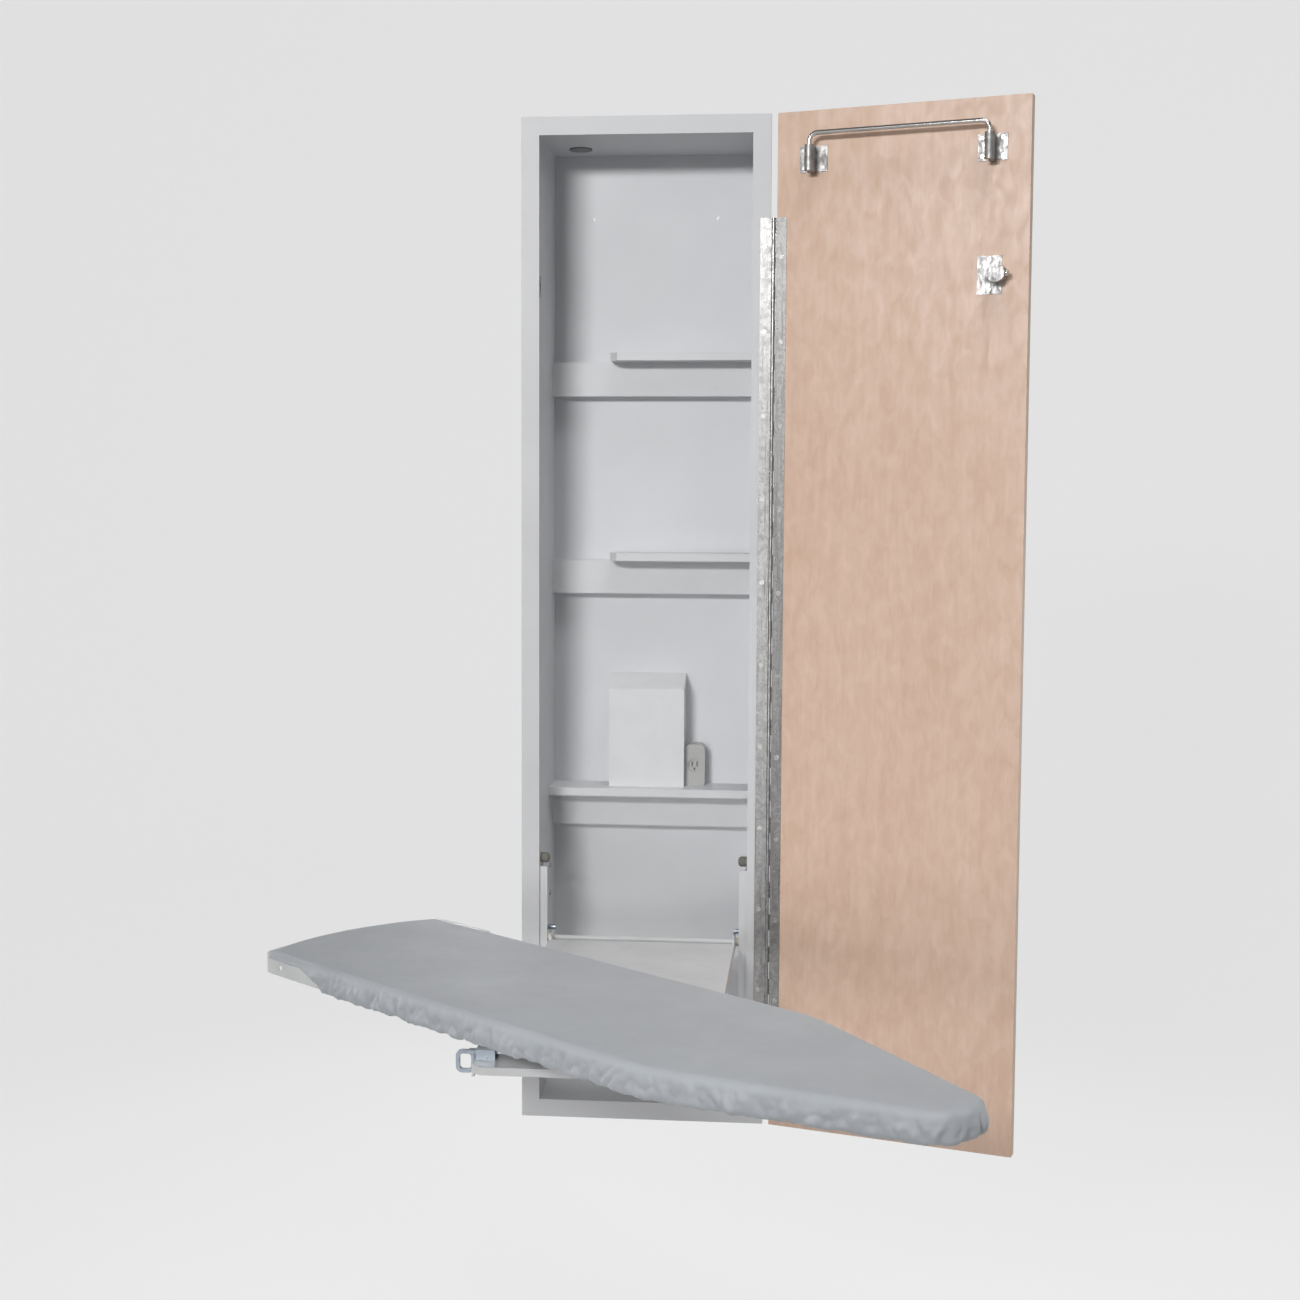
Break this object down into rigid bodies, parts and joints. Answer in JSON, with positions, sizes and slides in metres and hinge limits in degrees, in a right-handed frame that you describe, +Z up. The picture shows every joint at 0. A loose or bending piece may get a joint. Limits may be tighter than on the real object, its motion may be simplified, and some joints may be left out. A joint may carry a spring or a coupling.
{
  "type": "mirrored ironing board cabinet",
  "caption": "Shallow wall cabinet with a mirrored door on a long hinge; a padded ironing board on a swivelling arm folds up inside it.",
  "frame": {"origin": "centre of the four wall screws, on the cabinet's back face", "axes": "+X to the right seen from the front, +Y back into the wall, +Z up"},
  "size_m": [1.0442, 1.2021, 1.556],
  "materials": {
    "cabinet_white": "white laminate, satin",
    "shelf_white": "white laminate, satin",
    "back_white": "white laminate, satin",
    "steel_white": "white powder coat, semi-gloss",
    "steel_zinc": "zinc plated",
    "nickel": "satin nickel",
    "screw_steel": "bright",
    "box_white": "white, satin",
    "socket_grey": "grey, satin",
    "plug_grey": "dark grey, satin",
    "guide_black": "matte",
    "bearing_ivory": "low friction, matte",
    "maple": "light veneer, satin lacquer",
    "maple_edge": "edge band, satin lacquer",
    "adhesive": "matte",
    "mirror": "polished",
    "pad_felt": "soft felt",
    "cover_cloth": "silver grey coated cloth"
  },
  "bodies": {
    "cabinet": {"side_panel_left": "cabinet_white", "side_panel_right": "cabinet_white", "top_panel": "cabinet_white", "bottom_panel": "cabinet_white", "back_panel": "back_white", "stile_left": "cabinet_white", "stile_right": "cabinet_white", "rail_top": "cabinet_white", "rail_bottom": "cabinet_white", "upper_shelf": "shelf_white", "middle_shelf": "shelf_white", "lower_shelf": "shelf_white", "upper_cleat": "shelf_white", "middle_cleat": "shelf_white", "lower_cleat": "shelf_white", "shelf_box": "box_white", "side_socket": "socket_grey", "cable_hole_plug": "plug_grey", "catch_strike": "steel_zinc", "pivot_bracket_left": "steel_white", "pivot_bracket_right": "steel_white", "bracket_screws": "steel_zinc", "pivot_rod": "steel_white", "pivot_bushings": "bearing_ivory", "stop_studs": "steel_zinc", "arm_guides": "guide_black", "hinge_cabinet_leaf": "nickel", "hinge_cabinet_screws": "screw_steel", "hinge_pin": "nickel"},
    "arm": {"arm_plate": "steel_white", "arm_rail_left": "steel_white", "arm_rail_right": "steel_white", "arm_rib": "steel_white", "lower_race": "steel_zinc", "swivel_bearing": "bearing_ivory", "swivel_bolt": "steel_zinc", "latch_guide": "steel_zinc"},
    "latch": {"latch_bar": "steel_zinc"},
    "board": {"turntable": "steel_zinc", "swivel_pedestal": "steel_white", "cross_ribs": "steel_white", "board_sheet": "steel_white", "board_rim_left": "steel_white", "board_rim_right": "steel_white", "board_rim_nose": "steel_white", "board_rim_rear": "steel_white", "board_pad": "pad_felt", "board_cover": "cover_cloth"},
    "door": {"door_panel": "maple", "door_edge_band": "maple_edge", "mirror_adhesive": "adhesive", "mirror_glass": "mirror", "hinge_door_leaf": "nickel", "hinge_door_screws": "screw_steel", "rod_bracket_near": "nickel", "rod_bracket_far": "nickel", "catch_body": "nickel", "door_hardware_screws": "screw_steel"},
    "rod": {"garment_rod": "nickel"},
    "plunger": {"catch_plunger": "nickel"}
  },
  "joints": [
    {"name": "door_swing", "type": "hinge", "parent": "cabinet", "child": "door", "pos_m": [0.195, -0.187, 0], "axis": [0, 0, 1], "range_deg": [-53, 17]},
    {"name": "arm_fold", "type": "hinge", "parent": "cabinet", "child": "arm", "pos_m": [0, -0.168, -0.493], "axis": [-1, 0, 0], "range_deg": [0, 30]},
    {"name": "board_swivel", "type": "hinge", "parent": "arm", "child": "board", "pos_m": [0, -0.817, -0.4837], "axis": [0, 0, 1], "range_deg": [-140, 40]},
    {"name": "latch_pull", "type": "slide", "parent": "arm", "child": "latch", "axis": [-1, 0, 0], "range_m": [0, 0.009], "stiffness_N_per_m": 300, "springref_m": -0.006},
    {"name": "garment_rod_lift", "type": "slide", "parent": "door", "child": "rod", "axis": [0, 0, 1], "range_m": [0, 0.018]},
    {"name": "plunger_press", "type": "slide", "parent": "door", "child": "plunger", "axis": [-0.9563, 0.2924, 0], "range_m": [0, 0.004], "stiffness_N_per_m": 400, "springref_m": -0.004}
  ]
}
